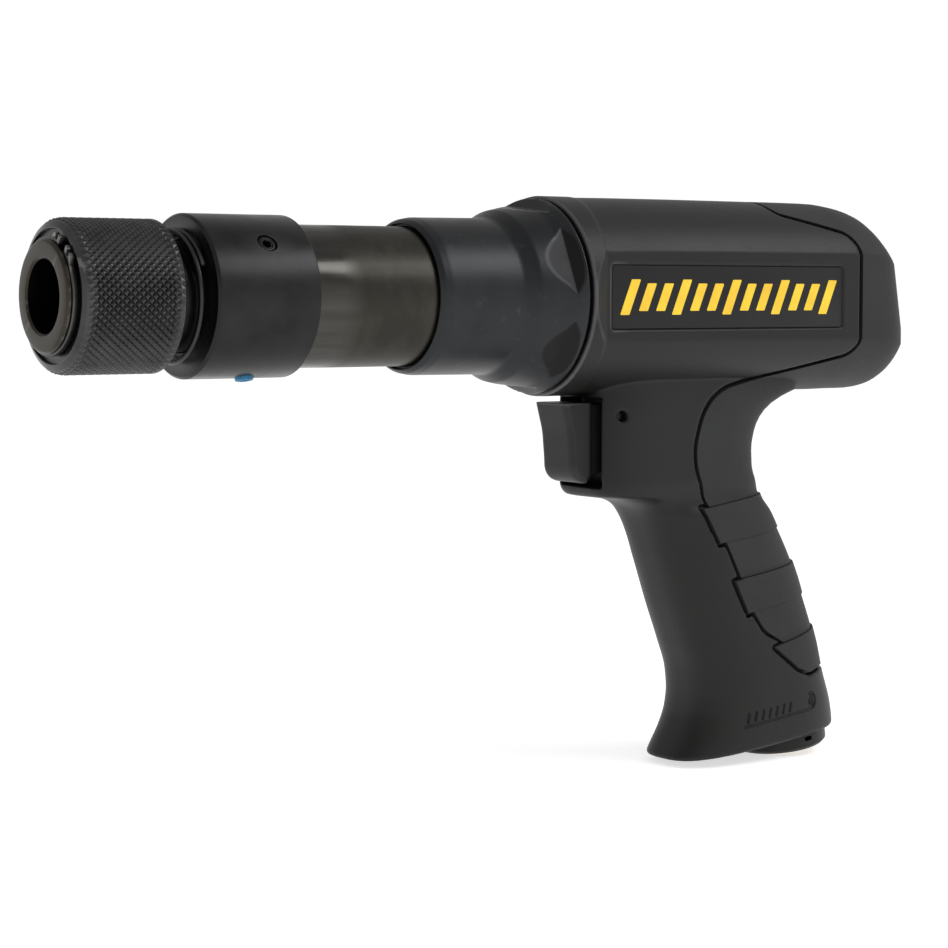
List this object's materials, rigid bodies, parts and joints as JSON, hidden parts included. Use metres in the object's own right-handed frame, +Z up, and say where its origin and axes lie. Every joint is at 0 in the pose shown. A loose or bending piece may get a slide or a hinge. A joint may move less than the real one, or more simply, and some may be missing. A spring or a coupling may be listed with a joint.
{
  "type": "pneumatic air hammer",
  "caption": "Pistol-grip air hammer: knurled quick-change chisel sleeve, set-screw collar, long sprung barrel, flared nut, boxy housing with rubber rear grip, trigger, and inlet with swivel exhaust ring.",
  "frame": {"origin": "middle of the object's length and width, at its lowest level (the foot of the grip)", "axes": "+X from the nose towards the rear along the barrel axis, +Z up from the foot of the grip to the barrel, -Y the side shown in the picture (the tool's left)"},
  "size_m": [0.281, 0.0572, 0.169],
  "materials": {
    "black_oxide_steel": "black oxide",
    "barrel_steel": "burnished brown-grey",
    "bright_steel": "ground",
    "brass": "machined",
    "bronze": "sintered",
    "black_composite": "fine moulded grain",
    "soft_rubber": "matt",
    "seal_rubber": "matt",
    "thread_lock": "dried thread lock",
    "badge_film": "satin",
    "felt": "pressed felt"
  },
  "bodies": {
    "handle": {"handle_housing": "black_composite", "rear_grip": "soft_rubber", "badge_left": "badge_film", "badge_right": "badge_film", "front_nut": "black_oxide_steel", "wiper_seal": "seal_rubber", "guide_bush": "bronze", "damper_spring": "black_oxide_steel", "spring_seat": "black_oxide_steel", "damper_pad": "seal_rubber", "trigger_pin": "bright_steel", "throttle_bush": "brass", "throttle_seal": "seal_rubber", "throttle_spring": "bright_steel", "inlet_bushing": "brass", "inlet_screen": "bright_steel", "exhaust_felt": "felt"},
    "barrel": {"cylinder_barrel": "barrel_steel", "nose_tube": "barrel_steel", "snap_ring": "black_oxide_steel", "retainer_collar": "black_oxide_steel", "set_screw_1": "black_oxide_steel", "set_screw_2": "black_oxide_steel", "set_screw_3": "thread_lock", "valve_seat_front": "black_oxide_steel", "valve_seat_rear": "black_oxide_steel", "backhead": "black_oxide_steel", "barrel_seal": "seal_rubber", "sleeve_spring": "black_oxide_steel"},
    "sleeve": {"knurled_sleeve": "black_oxide_steel"},
    "ball_1": {"locking_ball_1": "bright_steel"},
    "ball_2": {"locking_ball_2": "bright_steel"},
    "ball_3": {"locking_ball_3": "bright_steel"},
    "piston": {"piston": "bright_steel"},
    "valve": {"valve_plate": "bright_steel"},
    "trigger": {"trigger": "black_composite"},
    "throttle": {"throttle_stem": "bright_steel"},
    "deflector": {"exhaust_deflector": "black_composite"}
  },
  "joints": [
    {"name": "barrel_float", "type": "slide", "parent": "handle", "child": "barrel", "axis": [1, 0, 0], "range_m": [0, 0.005], "stiffness_N_per_m": 9000, "springref_m": -0.004, "deforming": ["damper_spring"]},
    {"name": "sleeve_pull", "type": "slide", "parent": "barrel", "child": "sleeve", "axis": [1, 0, 0], "range_m": [0, 0.005], "stiffness_N_per_m": 1500, "springref_m": -0.004, "deforming": ["sleeve_spring"]},
    {"name": "ball_1_out", "type": "slide", "parent": "barrel", "child": "ball_1", "axis": [0, 0, 1], "range_m": [0, 0.0018]},
    {"name": "ball_2_out", "type": "slide", "parent": "barrel", "child": "ball_2", "axis": [0, 0.866, -0.5], "range_m": [0, 0.0018]},
    {"name": "ball_3_out", "type": "slide", "parent": "barrel", "child": "ball_3", "axis": [0, -0.866, -0.5], "range_m": [0, 0.0018]},
    {"name": "piston_stroke", "type": "slide", "parent": "barrel", "child": "piston", "axis": [1, 0, 0], "range_m": [-0.04, 0.012]},
    {"name": "valve_shuttle", "type": "slide", "parent": "barrel", "child": "valve", "axis": [1, 0, 0], "range_m": [0, 0.0012]},
    {"name": "trigger_pivot", "type": "hinge", "parent": "handle", "child": "trigger", "pos_m": [0.0344, 0, 0.10589], "axis": [0, -1, 0], "range_deg": [0, 9]},
    {"name": "throttle_push", "type": "slide", "parent": "handle", "child": "throttle", "axis": [1, 0, 0], "range_m": [0, 0.0015], "stiffness_N_per_m": 1200, "springref_m": -0.002, "deforming": ["throttle_spring"]},
    {"name": "deflector_turn", "type": "hinge", "parent": "handle", "child": "deflector", "pos_m": [0.1077, 0, 0.00169], "axis": [-0.1392, 0, 0.9903], "continuous": true}
  ],
  "couplings": [
    {"joint": "ball_1_out", "follows": "sleeve_pull", "ratio": 0.36},
    {"joint": "ball_2_out", "follows": "sleeve_pull", "ratio": 0.36},
    {"joint": "ball_3_out", "follows": "sleeve_pull", "ratio": 0.36},
    {"joint": "trigger_pivot", "follows": "throttle_push", "rad_per_m": 104}
  ]
}
